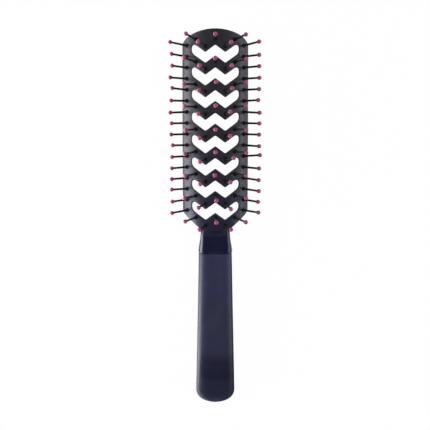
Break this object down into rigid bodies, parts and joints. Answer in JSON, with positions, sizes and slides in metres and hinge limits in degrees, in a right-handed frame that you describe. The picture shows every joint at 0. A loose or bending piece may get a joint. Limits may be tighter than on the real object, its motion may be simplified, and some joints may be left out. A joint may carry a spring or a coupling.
{
  "type": "vent brush",
  "caption": "Hair brush with an arched, open-backed head, W-shaped vents, splayed ball-tipped pins and a soft sleeve grip.",
  "frame": {"origin": "under the middle of the brush, on the surface that it rests on when it lies on its back", "axes": "+Y towards the tip of the head, +Z the way the pins point, +X to the right of the pins seen from above with the tip up"},
  "size_m": [0.0548, 0.231, 0.0285],
  "materials": {
    "moulded_frame": "moulded plastic with a soft sheen",
    "soft_touch_grip": "matte soft-touch sleeve",
    "nylon_pin": "smooth black nylon",
    "dipped_tip": "glossy coating dipped on the pins' ball tips"
  },
  "bodies": {
    "root": {"head_frame": "moulded_frame", "grip_sleeve": "soft_touch_grip", "pin_row1_centre": "nylon_pin", "pin_row1_inner_left": "nylon_pin", "pin_row1_inner_right": "nylon_pin", "pin_row1_outer_left": "nylon_pin", "pin_row1_outer_right": "nylon_pin", "pin_row2_centre": "nylon_pin", "pin_row2_inner_left": "nylon_pin", "pin_row2_inner_right": "nylon_pin", "pin_row2_outer_left": "nylon_pin", "pin_row2_outer_right": "nylon_pin", "pin_row3_centre": "nylon_pin", "pin_row3_inner_left": "nylon_pin", "pin_row3_inner_right": "nylon_pin", "pin_row3_outer_left": "nylon_pin", "pin_row3_outer_right": "nylon_pin", "pin_row4_centre": "nylon_pin", "pin_row4_inner_left": "nylon_pin", "pin_row4_inner_right": "nylon_pin", "pin_row4_outer_left": "nylon_pin", "pin_row4_outer_right": "nylon_pin", "pin_row5_centre": "nylon_pin", "pin_row5_inner_left": "nylon_pin", "pin_row5_inner_right": "nylon_pin", "pin_row5_outer_left": "nylon_pin", "pin_row5_outer_right": "nylon_pin", "pin_row6_centre": "nylon_pin", "pin_row6_inner_left": "nylon_pin", "pin_row6_inner_right": "nylon_pin", "pin_row6_outer_left": "nylon_pin", "pin_row6_outer_right": "nylon_pin", "pin_row7_centre": "nylon_pin", "pin_row7_inner_left": "nylon_pin", "pin_row7_inner_right": "nylon_pin", "pin_row7_outer_left": "nylon_pin", "pin_row7_outer_right": "nylon_pin", "pin_row8_centre": "nylon_pin", "pin_row8_inner_left": "nylon_pin", "pin_row8_inner_right": "nylon_pin", "pin_row8_outer_left": "nylon_pin", "pin_row8_outer_right": "nylon_pin", "pin_row9_centre": "nylon_pin", "pin_row9_inner_left": "nylon_pin", "pin_row9_inner_right": "nylon_pin", "pin_row9_outer_left": "nylon_pin", "pin_row9_outer_right": "nylon_pin", "rail_pins_left": "nylon_pin", "rail_pins_right": "nylon_pin"}
  },
  "joints": []
}
